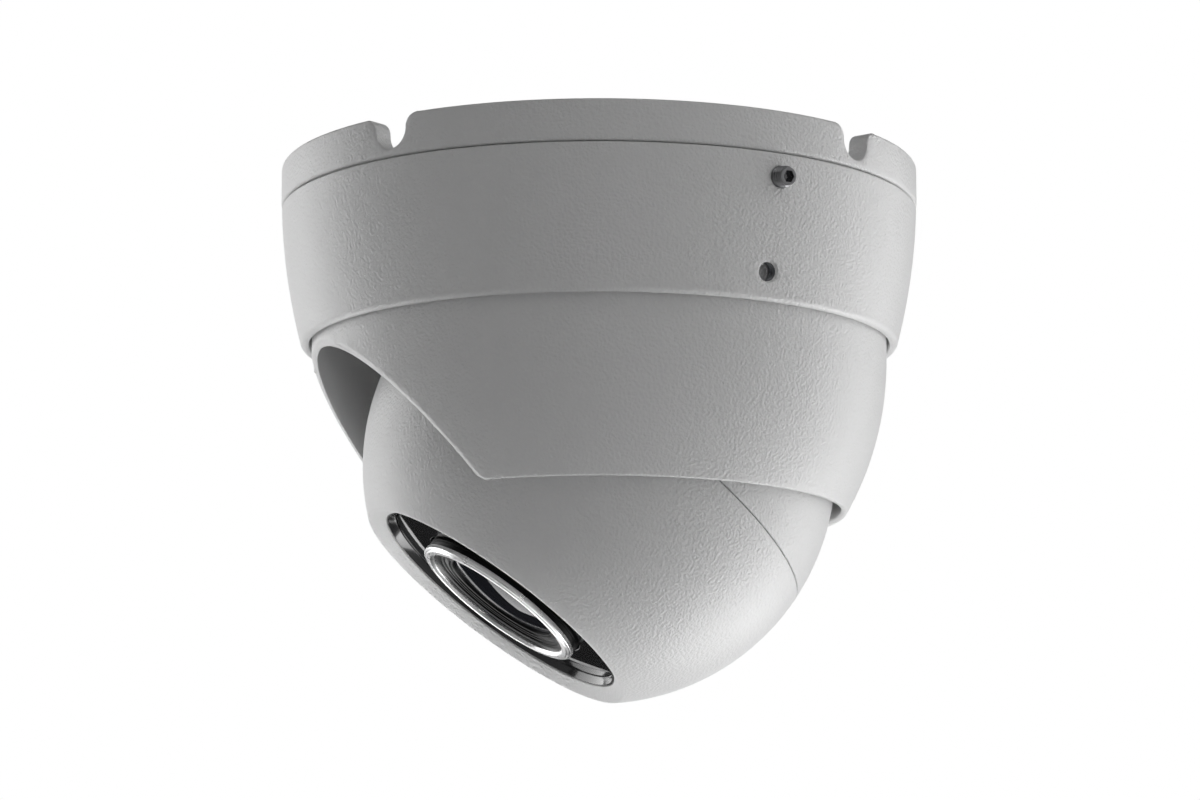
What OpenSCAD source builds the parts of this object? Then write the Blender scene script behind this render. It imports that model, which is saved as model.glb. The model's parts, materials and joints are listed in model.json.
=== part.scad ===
// Turret dome security camera for a ceiling: a mounting base, a body shell, a panning cup and a
// three-axis eyeball that carries a motorised lens. Millimetres, +Z up, lens towards -Y.
// The origin is the centre of the ceiling face, so everything hangs below z = 0.

/* [Mounting base] */
// Outer radius of the mounting base
base_r = 61; // [60:0.25:63]
// Height of the mounting base's outer ring
ring_h = 7.7; // [7:0.1:8]
// Wall thickness of the outer ring
ring_wall = 4.3; // [3.5:0.1:5]
// How far the base is turned on the ceiling, seen from below
base_turn = -4.75; // [-20:0.25:20]
// Number of cable notches in the ring
notch_count = 4; // [2:1:6]
// Width of a cable notch
notch_w = 7; // [6:0.25:8]
// Depth of a cable notch
notch_depth = 6.2; // [5:0.1:6.4]
// Bolt circle diameter of the ceiling screws
screw_pcd = 90; // [86:1:92]
// Radius of a ceiling screw hole
screw_hole_r = 2.3; // [2:0.1:2.6]
// Radius of the cable hole in the floor of the base
cable_hole_r = 18; // [17:0.5:22]

/* [Body shell] */
// Height of the shell's lower rim below the ceiling
shell_bottom = 34.6; // [34:0.1:36]
// Radius of the arc that tapers the shell's outside
shell_arc_r = 116.5; // [100:0.5:140]
// Angle of the set screw that locks the shell to the base
base_screw_angle = 22; // [10:1:34]
// Angle of the empty threaded hole for a pan lock screw
pan_hole_angle = 21; // [10:1:34]
// How far the threaded holes point below the horizontal
hole_dip = 9; // [0:1:12]

/* [Pan cup] */
// Outside radius of the cup's straight neck
cup_neck_r = 54.93; // [54.7:0.01:55]
// Radius of the arc that closes the cup below its neck
cup_arc_r = 59.1; // [58.5:0.1:60]
// Wall thickness of the cup
cup_wall = 1.2; // [1.2:0.1:2.4]
// Height of the cup's lower rim below the ceiling
cup_bottom = 66.6; // [66:0.1:67.2]
// Height of the slanting front cut at the front of the neck, below the ceiling
cut_top = 35.4; // [35.2:0.1:37]
// Slope of the front cut, in degrees from the horizontal
cut_slope = 50; // [48:0.5:52]

/* [Eyeball] */
// Radius of the eyeball
ball_r = 45; // [44.9:0.05:45.1]
// Height of the eyeball's centre below the ceiling
ball_drop = 57.4; // [57.2:0.1:57.6]
// Angle of the lens below the horizontal as it is stored
lens_down = 53.8; // [40:0.1:70]
// Wall thickness of the eyeball's covers
ball_wall = 2.2; // [2:0.1:2.4]
// Distance from the eyeball's centre to its flat face
face_u = 34; // [33.8:0.1:34.2]
// Radius of the front opening
opening_r = 26.5; // [26.3:0.1:26.7]

/* [Lens] */
// Radius of the lens ring
lens_ring_r = 17.1; // [17:0.05:17.2]
// Teeth on the zoom and focus ring gears
ring_teeth = 50; // [50:1:50]
// Teeth on a motor pinion
pinion_teeth = 20; // [20:1:20]
// Gear module
gear_module = 0.6; // [0.6:0.1:0.6]
// Number of infrared LEDs
led_count = 8; // [6:1:10]

/* [Hidden] */
$fn = 96;
eps = 0.01;
// Plain directions
notch_flare = 2.6;
floor_top = -6.3;
floor_bottom = -9;
spigot_r = 57;
spigot_inner_r = 54.2;
spigot_bottom = -16.2;
boss_r = 5;
shell_top = -(ring_h + 0.25);
shell_bore_r = 57.3;
ledge_z = -22;
shell_lip_r = 55.5;
shell_arc_z = -4;
base_screw_z = -12.3;
pan_hole_z = -29.6;
set_screw_r = 1.95;
set_screw_hole_r = set_screw_r + 0.05;
set_screw_in = -3.2;
set_screw_out = 2.65;
hex_r = 1.15;
hex_depth = 2.2;
lug_angles = [60, 180, 300];
lug_slot_top = -12.2;
cup_arc_z = -37;
cup_arc_x = cup_neck_r - cup_arc_r;
bead_extra = 0.1;
flange_r = 57;
flange_bottom = -21.85;
flange_top = -19.9;
ball_z = -ball_drop;
ball_inner_r = ball_r - ball_wall;
seam_front = -1.3;
seam_rear = -1.5;
yoke_inner_r = ball_r + 0.35;
yoke_outer_r = 46.7;
pivot_r = 2;
pivot_boss_r = 4.4;
pivot_boss_x = 47.3;
pin_inner_x = 45.5;
pin_outer_x = 49.9;
hub_r = 5.5;
hub_end = -49.2;
window_front = 30.8;
window_back = 28.9;
seat_r = 24.2;
plate_back = 26;
barrel_r = 13.3;
barrel_bore_r = 11.65;
gear_bore_r = barrel_r + 0.05;
ring_gear_r = ring_teeth * gear_module / 2;
pinion_gear_r = pinion_teeth * gear_module / 2;
gear_centres = ring_gear_r + pinion_gear_r;
zoom_gear_z = [11, 14];
focus_gear_z = [19, 22];
gear_gap = 0.3;
collar_h = 0.6;
zoom_motor_angle = 0;
focus_motor_angle = 180;
zoom_lug_z = zoom_gear_z[1] + gear_gap;
focus_lug_z = focus_gear_z[0] - gear_gap - collar_h;
shaft_r = 0.8;
shaft_hole_r = 0.85;

// Carries its children from the eyeball's own frame, where +Z is the optical axis, to the object's.
module in_ball() {
  translate([0, 0, ball_z]) rotate([90 + lens_down, 0, 0]) children();
}

// Outer radius of the shell at a height.
function shell_r(z) = base_r - 0.02 - shell_arc_r + sqrt(pow(shell_arc_r, 2) - pow(z - shell_arc_z, 2));

// Sets its children, drawn along +Z from the origin, on the shell's surface, pointing out and down.
module on_shell(angle, z) {
  rotate([0, 0, angle]) translate([shell_r(z), 0, z]) rotate([0, 90 + hole_dip, 0]) children();
}

// A ring of square section.
module ring(outer, inner, z0, z1) {
  translate([0, 0, z0]) difference() {
    cylinder(r = outer, h = z1 - z0);
    translate([0, 0, -1]) cylinder(r = inner, h = z1 - z0 + 2);
  }
}

// A straight cylinder between two heights.
module rod(r, z0, z1) {
  translate([0, 0, z0]) cylinder(r = r, h = z1 - z0);
}

// A block centred on X and Y, between two heights.
module slab(w, d, z0, z1) {
  translate([-w / 2, -d / 2, z0]) cube([w, d, z1 - z0]);
}

// Copies of its children at equal angles on a circle.
module around(count, radius, start = 0) {
  for (i = [0:count - 1])
    rotate([0, 0, start + i * 360 / count]) translate([radius, 0, 0]) children();
}

// Outline of a spur gear with straight-flanked teeth and running backlash.
module gear_outline(teeth, shift = 0) {
  pitch_r = teeth * gear_module / 2;
  pitch_a = 360 / teeth;
  root_r = pitch_r - 1.2 * gear_module;
  tip_r = pitch_r + 0.9 * gear_module;
  polygon([for (i = [0:teeth - 1]) let (a = (i + shift) * pitch_a)
    for (p = [[root_r, -0.32], [pitch_r, -0.2], [tip_r, -0.09],
              [tip_r, 0.09], [pitch_r, 0.2], [root_r, 0.32]])
      [p[0] * cos(a + p[1] * pitch_a), p[0] * sin(a + p[1] * pitch_a)]]);
}

// A set screw along +Z with a hexagon socket in its outer end.
module set_screw(z0, z1) {
  difference() {
    union() {
      rod(set_screw_r, z0 + 0.5, z1 - 0.3);
      translate([0, 0, z0]) cylinder(r1 = set_screw_r - 0.5, r2 = set_screw_r, h = 0.5);
      translate([0, 0, z1 - 0.3]) cylinder(r1 = set_screw_r, r2 = set_screw_r - 0.3, h = 0.3);
    }
    translate([0, 0, z1 - hex_depth]) cylinder(r = hex_r, h = hex_depth + 1, $fn = 6);
  }
}

// A screw along +Z: pan head below z0, shank up to z1.
module machine_screw(head_r, head_h, shank_r, z0, z1) {
  difference() {
    union() {
      rod(head_r, z0 - head_h, z0);
      rod(shank_r, z0, z1);
    }
    translate([0, 0, z0 - head_h]) slab(head_r * 1.3, 0.6, -1, 0.6);
    translate([0, 0, z0 - head_h]) slab(0.6, head_r * 1.3, -1, 0.6);
  }
}

/* ---- Mounting base and body shell ---- */

// Die-cast tray that screws to the ceiling: notched ring, floor with screw bosses, and a spigot.
module mounting_base() color("gainsboro") rotate([0, 0, base_turn]) difference() {
  union() {
    rotate_extrude() difference() {
      union() {
        translate([base_r - ring_wall, -ring_h]) square([ring_wall, ring_h - 0.6]);
        translate([base_r - ring_wall, -0.7]) square([ring_wall - 0.6, 0.7]);
        translate([base_r - 0.6, -0.6]) circle(r = 0.6);
        translate([cable_hole_r, floor_bottom])
          square([spigot_r - cable_hole_r, floor_top - floor_bottom]);
        translate([spigot_inner_r, spigot_bottom])
          square([spigot_r - spigot_inner_r, floor_bottom - spigot_bottom + 1]);
      }
      translate([base_r - 0.9, -ring_h]) difference() {
        translate([0, -1]) square([2, 1.9]);
        translate([0, 0.9]) circle(r = 0.9);
      }
    }
    around(4, screw_pcd / 2) rod(boss_r, floor_bottom, 0);
    ring(cable_hole_r + 2, cable_hole_r, floor_top - 1, floor_top + 1.5);
  }
  around(4, screw_pcd / 2) rod(screw_hole_r, -20, 5);
  around(notch_count, 0, 45) notch_cutter();
  for (a = lug_angles) rotate([0, 0, a - base_turn]) lug_slot();
}

// Round-bottomed notch through the ring, its mouth flared by two rounded corners.
module notch_cutter() {
  mouth_w = notch_w + 2 * notch_flare;
  translate([base_r - ring_wall - 0.5, 0, 0]) rotate([90, 0, 90]) linear_extrude(ring_wall + 2) difference() {
    union() {
      translate([-notch_w / 2, -notch_depth + notch_w / 2]) square([notch_w, notch_depth]);
      translate([0, -notch_depth + notch_w / 2]) circle(r = notch_w / 2);
      translate([-mouth_w / 2, -notch_flare]) square([mouth_w, notch_flare + 1]);
    }
    for (side = [-1, 1]) translate([side * mouth_w / 2, -notch_flare]) circle(r = notch_flare);
  }
}

// L-shaped bayonet slot in the spigot for one lug of the shell: a way in and a resting place.
module lug_slot() {
  translate([spigot_inner_r - 1, 5, spigot_bottom - 1]) cube([5, 9.5, lug_slot_top - spigot_bottom + 1]);
  translate([spigot_inner_r - 1, -4.5, lug_slot_top - 2.1]) cube([5, 12, 2.1]);
}

// Rubber ring between the base and the shell.
module base_o_ring() color("dimgray")
  rotate_extrude() translate([57.85, -8.5]) circle(r = 0.75);

// Tapering outer shell with a ledge for the cup, bayonet lugs and two threaded holes.
module body_shell() color("gainsboro") difference() {
  union() {
    rotate_extrude() difference() {
      intersection() {
        translate([base_r - 0.02 - shell_arc_r, shell_arc_z]) circle(r = shell_arc_r, $fn = 360);
        union() {
          translate([shell_lip_r, -shell_bottom + 1.2]) square([8, shell_bottom + shell_top - 1.2]);
          translate([shell_lip_r, -shell_bottom]) square([0.55, 1.3]);
          translate([shell_lip_r + 0.5, -shell_bottom + 1.2]) circle(r = 1.2);
        }
      }
      translate([40, ledge_z]) square([shell_bore_r - 40, 40]);
      translate([40, shell_top - 1.45]) square([58.65 - 40, 10]);
      translate([40, -shell_bottom - 1]) square([shell_lip_r - 40, 30]);
    }
    for (a = lug_angles) rotate([0, 0, a]) intersection() {
      ring(shell_bore_r + 0.5, 55.7, lug_slot_top - 1.8, lug_slot_top - 0.3);
      translate([50, -4, -20]) cube([20, 8, 10]);
    }
  }
  on_shell(base_screw_angle, base_screw_z) rod(set_screw_hole_r, -8, 5);
  on_shell(pan_hole_angle, pan_hole_z) rod(set_screw_hole_r, -8, 5);
}

// Threaded ring that holds the cup's flange down on the shell's ledge, with spanner slots.
module pan_retaining_ring() color("silver") difference() {
  ring(57.2, 51.5, -18.9, -16.9);
  around(4, 52.5) slab(4, 4, -17.9, -16);
}

// Nylon washer that gives the pan its drag.
module pan_friction_washer() color("ivory")
  ring(56.8, 52.8, -19.75, -19);

// Set screw that locks the shell to the base's spigot, backed out until it stands proud.
module base_lock_screw() color("silver")
  on_shell(base_screw_angle, base_screw_z) set_screw(set_screw_in, set_screw_out);

/* ---- Pan cup and tilt yoke ---- */

// Section of the cup's wall: flange, straight neck, then an arc down to a rounded bead.
module cup_section() {
  mid_r = cup_arc_r - cup_wall / 2;
  rim_a = asin((cup_bottom - cup_wall / 2 + cup_arc_z) / mid_r);
  translate([cup_neck_r - cup_wall, flange_bottom])
    square([flange_r - cup_neck_r + cup_wall, flange_top - flange_bottom]);
  translate([cup_neck_r - cup_wall, cup_arc_z]) square([cup_wall, flange_bottom - cup_arc_z]);
  translate([cup_arc_x, cup_arc_z]) {
    intersection() {
      difference() {
        circle(r = cup_arc_r, $fn = 240);
        circle(r = cup_arc_r - cup_wall, $fn = 240);
      }
      polygon([[0, 0], [2 * cup_arc_r, 0], 2 * cup_arc_r * [cos(rim_a), -sin(rim_a)]]);
    }
    rotate(-rim_a) translate([mid_r, 0]) circle(r = cup_wall / 2 + bead_extra);
  }
}

// Cup that pans in the shell: cut away at the front for the lens, with a pivot boss on each side.
module pan_cup() color("gainsboro") difference() {
  union() {
    rotate_extrude() cup_section();
    for (side = [0, 180]) rotate([0, 0, side]) intersection() {
      translate([0, 0, ball_z]) rotate([0, 90, 0]) rod(pivot_boss_r, pivot_boss_x, 55);
      rotate_extrude() translate([cup_arc_x, cup_arc_z]) intersection() {
        circle(r = cup_arc_r - cup_wall / 2, $fn = 240);
        translate([10, -60]) square([60, 60]);
      }
    }
  }
  translate([0, -cup_neck_r, -cut_top]) rotate([-cut_slope, 0, 0])
    translate([-80, -60, -100]) cube([160, 160, 100]);
  translate([0, 0, ball_z]) rotate([0, 90, 0]) rod(pivot_r, -pin_outer_x, pin_outer_x);
}

// Steel pin pressed into the side of the cup.
module tilt_pin() {
  translate([0, 0, ball_z]) rotate([0, 90, 0]) rod(pivot_r, pin_inner_x, pin_outer_x);
}

// Tilt pivot pin on the -X side.
module tilt_pin_left() color("silver") mirror([1, 0, 0]) tilt_pin();

// Tilt pivot pin on the +X side.
module tilt_pin_right() color("silver") tilt_pin();

// Spring steel strap over the back of the eyeball: pivots at the sides, a bearing ring at the pole.
module tilt_yoke() color("slategray") in_ball() difference() {
  union() {
    intersection() {
      difference() {
        sphere(r = yoke_outer_r);
        sphere(r = yoke_inner_r);
      }
      union() {
        translate([-60, -4.5, -60]) cube([120, 9, 60]);
        translate([-60, 0, 0]) rotate([0, 90, 0]) cylinder(r = 4.6, h = 120);
      }
    }
    difference() {
      rod(9, -47.1, -44);
      sphere(r = yoke_inner_r);
    }
  }
  rod(hub_r + 0.05, -60, -30);
  translate([-60, 0, 0]) rotate([0, 90, 0]) cylinder(r = pivot_r + 0.05, h = 120);
}

/* ---- Eyeball covers and seals ---- */

// Front half of the eyeball: domed wall, bevelled lip, window seat and bosses for the frame.
module front_cover() color("gainsboro") in_ball() difference() {
  union() {
    rotate_extrude() intersection() {
      union() {
        difference() {
          circle(r = ball_r, $fn = 240);
          circle(r = ball_inner_r, $fn = 240);
        }
        intersection() {
          translate([seat_r, plate_back]) square([14, 10]);
          circle(r = ball_r, $fn = 240);
        }
      }
      difference() {
        translate([0, seam_front]) square([60, face_u - seam_front]);
        translate([0, face_u]) polygon([[0, 1], [29, 1], [29, 0], [opening_r, -1.6], [opening_r, -6],
                                        [seat_r, -6], [seat_r, -20], [0, -20]]);
        difference() {
          translate([29.1, face_u - 0.6]) square([3, 3]);
          translate([28.8, face_u - 0.7]) circle(r = 0.7);
        }
      }
    }
    around(3, 31, 30) rod(2.4, 16, plate_back + 1);
    around(3, 38, 90) intersection() {
      rod(3, seam_front, 14);
      translate([-38, 0, 0]) sphere(r = ball_r - 1);
    }
  }
  around(3, 31, 30) rod(1.1, 10, 24);
  around(3, 38, 90) rod(1.1, -5, 9);
}

// Rear half of the eyeball: domed wall, inner lip, screw pockets and the hollow roll hub.
module rear_cover() color("gainsboro") in_ball() difference() {
  union() {
    rotate_extrude() intersection() {
      difference() {
        circle(r = ball_r, $fn = 240);
        circle(r = ball_inner_r, $fn = 240);
      }
      translate([0, -60]) square([60, 60 + seam_rear]);
    }
    ring(ball_inner_r + 0.3, ball_inner_r - 1.6, -8, seam_rear);
    ring(ball_inner_r - 0.6, ball_inner_r - 1.6, seam_rear - 1, 2.5);
    around(3, 38, 90) intersection() {
      rod(3.6, -30, seam_rear);
      translate([-38, 0, 0]) sphere(r = ball_r - 1);
    }
    difference() {
      rod(hub_r, hub_end, -40);
      ring(hub_r + 1, 4.9, -48.55, -47.7);
    }
  }
  around(3, 38, 90) {
    rod(1.3, -20, 5);
    rod(2.5, -40, -10);
  }
  around(3, 38, 90) rod(3.1, seam_rear, 20);
  rod(3.8, -60, -20);
}

// Seal between the two covers, seated on the rear cover's lip.
module cover_o_ring() color("dimgray") in_ball()
  rotate_extrude() translate([ball_inner_r - 0.3, 0.4]) circle(r = 0.27);

// Three long screws that join the two covers.
module cover_screws() color("silver") in_ball()
  around(3, 38, 90) machine_screw(2.2, 1.8, 1.1, -10, 8.5);

// Nylon washer between the yoke and the circlip.
module roll_washer() color("ivory") in_ball() ring(8.4, 5.55, -47.7, -47.15);

// Circlip in the groove of the roll hub.
module roll_circlip() color("silver") in_ball() difference() {
  ring(8.2, 4.9, -48.5, -47.75);
  translate([0, -1.2, -50]) cube([10, 2.4, 5]);
}

// Rubber grommet where the cable leaves the eyeball.
module cable_grommet() color("dimgray") in_ball() union() {
  ring(3.8, 2.4, -49.2, -42);
  ring(4.8, 2.4, -50.2, -49.2);
}

/* ---- Face of the eyeball ---- */

// Gloss black ring that holds the window in, sloping down to it.
module window_bezel() color("#222222") in_ball() rotate_extrude()
  polygon([[25.3, window_back], [26.4, window_back], [26.4, 32.2], [26.2, 32.3], [25.3, window_front + 0.1]]);

// Dark infrared window, a flat ring around the lens.
module ir_window() color("#101014") in_ball() ring(25.2, 17.3, window_back, window_front);

// Rubber gasket behind the window's edge.
module window_gasket() color("dimgray") in_ball() ring(26.3, seat_r, 28, window_back);

// Ring-shaped circuit board behind the window.
module ir_board() color("darkgreen") in_ball() difference() {
  ring(27.5, 17.5, plate_back - 1.4, plate_back);
  around(3, 31, 30) rod(4.2, 20, 30);
}

// Surface-mount infrared LEDs with domed lenses.
module ir_leds() color("lightyellow") in_ball()
  around(led_count, 21, 22.5) {
    slab(3.4, 3.4, plate_back, plate_back + 0.9);
    intersection() {
      translate([0, 0, plate_back + 0.4]) sphere(r = 1.6);
      slab(4, 4, plate_back + 0.9, plate_back + 3);
    }
  }

// Light sensor that switches the camera to night mode.
module light_sensor() color("#303030") in_ball()
  translate([0, 21, 0]) slab(2.2, 2.2, plate_back, plate_back + 1.1);

/* ---- Lens ---- */

// Black threaded tube that stands proud of the window.
module lens_hood() color("#1a1a1a") in_ball() rotate_extrude()
  polygon(concat(
    [[15, 32.4], [15, 27]],
    [for (i = [0:9]) each [[16.6, 27 + i * 0.54], [16.95, 27.27 + i * 0.54]]],
    [[16.6, 32.4]]));

// Bright rounded ring on the front of the hood.
module lens_ring() color("silver") in_ball() rotate_extrude() difference() {
  union() {
    translate([14.9, 32.4]) square([lens_ring_r - 14.9, 0.35]);
    intersection() {
      translate([16, 32.6]) circle(r = 1.1);
      translate([10, 32.4]) square([10, 3]);
    }
  }
  translate([12, 30]) square([2.9, 5]);
}

// Stepped black ring that holds the front lens in.
module lens_retainer() color("#202020") in_ball() rotate_extrude()
  polygon([[11.4, 31.3], [11.4, 31.9], [11.9, 32.1], [12.3, 32.1], [12.4, 31.9], [13, 31.9],
           [13.1, 32.15], [13.6, 32.15], [13.7, 32.4], [14.9, 32.8], [14.9, 31.3]]);

// Convex front element.
module front_lens() color("#203040") in_ball() rotate_extrude() intersection() {
  translate([0, 32.9 - 40]) circle(r = 40, $fn = 360);
  translate([0, 27.2]) square([12.2, 8]);
}

// Fixed lens barrel: front flange, collars that locate the gears and two motor lugs.
module lens_barrel() color("#2a2a2a") in_ball() difference() {
  union() {
    rod(barrel_r, 3.6, 27);
    rod(14.9, 26.5, 31.3 - eps);
    rod(16.5, 25.2, 27);
    for (z = [zoom_gear_z, focus_gear_z]) {
      rod(14.6, z[0] - gear_gap - collar_h, z[0] - gear_gap);
      rod(14.6, z[1] + gear_gap, z[1] + gear_gap + collar_h);
    }
    rotate([0, 0, zoom_motor_angle]) translate([12.5, -5, zoom_lug_z]) cube([14, 10, collar_h]);
    rotate([0, 0, focus_motor_angle]) translate([12.5, -5, focus_lug_z]) cube([14, 10, collar_h]);
  }
  rod(12.21, 27.2, 40);
  rod(barrel_bore_r, 0, 30);
  for (angle = [zoom_motor_angle, focus_motor_angle])
    rotate([0, 0, angle]) translate([gear_centres, 0, 0]) rod(shaft_hole_r, 10, 24);
}

// Ring gear that turns on the barrel.
module lens_gear(z) {
  translate([0, 0, z[0]]) linear_extrude(z[1] - z[0]) difference() {
    gear_outline(ring_teeth);
    circle(r = gear_bore_r);
  }
}

// Zoom ring gear.
module zoom_gear() color("white") in_ball() lens_gear(zoom_gear_z);

// Focus ring gear.
module focus_gear() color("white") in_ball() lens_gear(focus_gear_z);

// Pinion on its shaft, half a tooth out of line so that it meshes with the ring gear.
module pinion(angle, z, shaft_z0, shaft_z1) {
  rotate([0, 0, angle]) translate([gear_centres, 0, 0]) {
    translate([0, 0, z[0]]) linear_extrude(z[1] - z[0]) gear_outline(pinion_teeth, 0.5);
    rod(shaft_r, shaft_z0, shaft_z1);
  }
}

// Zoom motor's pinion.
module zoom_pinion() color("khaki") in_ball() pinion(zoom_motor_angle, zoom_gear_z, 11, 16);

// Focus motor's pinion.
module focus_pinion() color("khaki") in_ball() pinion(focus_motor_angle, focus_gear_z, 16.6, 22);

// Small stepper motor can with a blind shaft hole and a terminal block.
module stepper(angle, z0, z1, hole_z0, hole_z1) {
  rotate([0, 0, angle]) translate([gear_centres, 0, 0]) difference() {
    union() {
      rod(4.8, z0, z1);
      translate([4, -2.5, z0 + 1.5]) cube([2.6, 5, z1 - z0 - 3]);
    }
    rod(shaft_hole_r, hole_z0, hole_z1);
  }
}

// Zoom motor.
module zoom_motor() color("silver") in_ball()
  stepper(zoom_motor_angle, zoom_lug_z + collar_h, 23, 13, 17);

// Focus motor.
module focus_motor() color("silver") in_ball() stepper(focus_motor_angle, 10, focus_lug_z, 16, 19);

// Zoom lens cell.
module zoom_cell() color("#333333") in_ball() ring(barrel_bore_r - 0.05, 9, 14, 18);

// Biconvex element centred at a height, its two faces of one radius.
module biconvex(rim_r, thickness, face_r, z) {
  rotate_extrude() intersection() {
    translate([0, z + thickness / 2 - face_r]) circle(r = face_r, $fn = 240);
    translate([0, z - thickness / 2 + face_r]) circle(r = face_r, $fn = 240);
    translate([0, z - thickness]) square([rim_r, 2 * thickness]);
  }
}

// Zoom element.
module zoom_lens() color("lightblue") in_ball() biconvex(9, 3.6, 30, 16);

// Focus lens cell.
module focus_cell() color("#333333") in_ball() ring(barrel_bore_r - 0.05, 7, 6.5, 9.5);

// Focus element.
module focus_lens() color("lightblue") in_ball() biconvex(7, 2.8, 22, 8);

// Square box behind the barrel: it closes on the sensor board and guides the filter slide.
module lens_mount() color("#2a2a2a") in_ball() {
  difference() {
    slab(30, 30, -2.6, 3.6);
    slab(26, 26, -3, 2);
    rod(8, -5, 5);
  }
  for (side = [0, 180]) rotate([0, 0, side]) difference() {
    translate([-13.5, 3.9, -0.3]) cube([27, 1.8, 2.4]);
    translate([-14, 3, 0.1]) cube([28, 1.55, 1]);
    rod(8, -5, 5);
  }
}

// Sliding plate with two filter openings.
module ir_cut_slide() color("#444444") in_ball() translate([-4, 0, 0]) difference() {
  slab(17, 9, 0.2, 1);
  for (x = [-4, 4]) translate([x, 0, 0]) slab(6.4, 6.4, -1, 2);
}

// Infrared-cut filter and clear filter, side by side in the slide.
module ir_cut_filters() color("lightcyan") in_ball()
  for (x = [-8, 0]) translate([x, 0, 0]) slab(6.4, 6.4, 0.35, 0.85);

// Electromagnet that flips the slide.
module ir_cut_coil() color("peru") in_ball() translate([0, 9.2, -0.1]) rotate([0, 90, 0]) union() {
  rod(1.2, -6, 6);
  rod(2, -4.5, 4.5);
}

/* ---- Electronics and inner frame ---- */

// Image sensor package.
module image_sensor() color("#1d2b2b") in_ball() slab(9, 7.4, -2.6, -1.2);

// Sensor circuit board.
module sensor_board() color("darkgreen") in_ball() slab(34, 34, -4, -2.6);

// Flat cable between the sensor board and the main board.
module sensor_flex() color("chocolate") in_ball() translate([-4, 0, 0]) rotate([90, 0, 90]) linear_extrude(8)
  polygon([[14.5, -4], [14.5, -4.3], [17.9, -4.3], [17.9, -8.7],
           [14.5, -8.7], [14.5, -9], [18.2, -9], [18.2, -4]]);

// Plate that carries the lens and the boards, on posts from the front cover.
module inner_frame() color("silver") in_ball() difference() {
  union() {
    rod(36, 4, 5.4);
    around(3, 31, 30) rod(2.4, 5, 16);
  }
  rod(barrel_r + 0.05, 0, 20);
  around(3, 31, 30) rod(1.1, 0, 20);
  around(3, 38, 90) rod(5, 0, 20);
}

// Screws through the frame's posts into the front cover.
module frame_screws() color("silver") in_ball()
  around(3, 31, 30) machine_screw(2, 1.4, 1.1, 4, 23);

// Hexagonal standoffs that space the boards.
module board_standoffs() color("goldenrod") in_ball() {
  around(3, 28, 90) translate([0, 0, -9]) cylinder(r = 2, h = 13, $fn = 6);
  around(3, 24, 0) translate([0, 0, -21]) cylinder(r = 2, h = 10.4, $fn = 6);
}

// Main processor board.
module main_board() color("darkgreen") in_ball() difference() {
  rod(34.5, -10.6, -9);
  around(3, 38, 90) rod(5.5, -20, 0);
}

// Packages and connectors on the rear face of the main board.
module main_chips() color("#181818") in_ball() {
  translate([0, 2, 0]) slab(14, 14, -12, -10.6);
  for (x = [-17, 15]) translate([x, -4, 0]) slab(9, 12, -11.8, -10.6);
  translate([0, -22, 0]) slab(16, 5, -14.6, -10.6);
  translate([0, 22, 0]) slab(12, 4, -13, -10.6);
}

// Thermal pad on the processor.
module thermal_pad() color("lightpink") in_ball() translate([0, 2, 0]) slab(13, 13, -12.8, -12);

// Finned heat sink on the pad.
module heat_sink() color("silver") in_ball() translate([0, 2, 0]) union() {
  slab(18, 18, -14.2, -12.8);
  for (i = [-3:3]) translate([i * 2.8, 0, 0]) slab(1.2, 18, -18.2, -14.2);
}

// Power supply board.
module power_board() color("darkgreen") in_ball() rod(29, -22.6, -21);

// Inductor, capacitors, transformer and cable connector on the power board.
module power_parts() color("#3a3a3a") in_ball() {
  translate([-10, 8, 0]) slab(11, 11, -30.5, -22.6);
  translate([9, 10, 0]) rod(4, -31, -22.6);
  translate([14, 0, 0]) rod(4, -31, -22.6);
  translate([-11, -9, 0]) slab(9, 6, -26.6, -22.6);
  translate([6, -13, 0]) slab(12, 6, -28.4, -22.6);
}

/* ---- One node at a time ---- */

mounting_base();
base_o_ring();
body_shell();
pan_retaining_ring();
pan_friction_washer();
base_lock_screw();
pan_cup();
tilt_pin_left();
tilt_pin_right();
tilt_yoke();
front_cover();
rear_cover();
cover_o_ring();
cover_screws();
roll_washer();
roll_circlip();
cable_grommet();
window_bezel();
ir_window();
window_gasket();
ir_board();
ir_leds();
light_sensor();
lens_hood();
lens_ring();
lens_retainer();
front_lens();
lens_barrel();
zoom_gear();
zoom_pinion();
zoom_motor();
zoom_cell();
zoom_lens();
focus_gear();
focus_pinion();
focus_motor();
focus_cell();
focus_lens();
lens_mount();
ir_cut_slide();
ir_cut_filters();
ir_cut_coil();
image_sensor();
sensor_board();
sensor_flex();
inner_frame();
frame_screws();
board_standoffs();
main_board();
main_chips();
thermal_pad();
heat_sink();
power_board();
power_parts();
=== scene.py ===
# %% [markdown]
# # A turret dome camera, cell by cell
# The camera hangs from a ceiling: a notched mounting base, a tapered shell, a cup that turns in
# the shell and is cut away at the front, and a painted metal eyeball that carries the lens.
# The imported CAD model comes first. It fixes every size and every place, so each new piece is
# made at its CAD size and then stands for its CAD node.

# %% Load the frame
import json
import math

import bpy
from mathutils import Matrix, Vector
from mathutils.geometry import intersect_point_line
from mathutils.kdtree import KDTree

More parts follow.
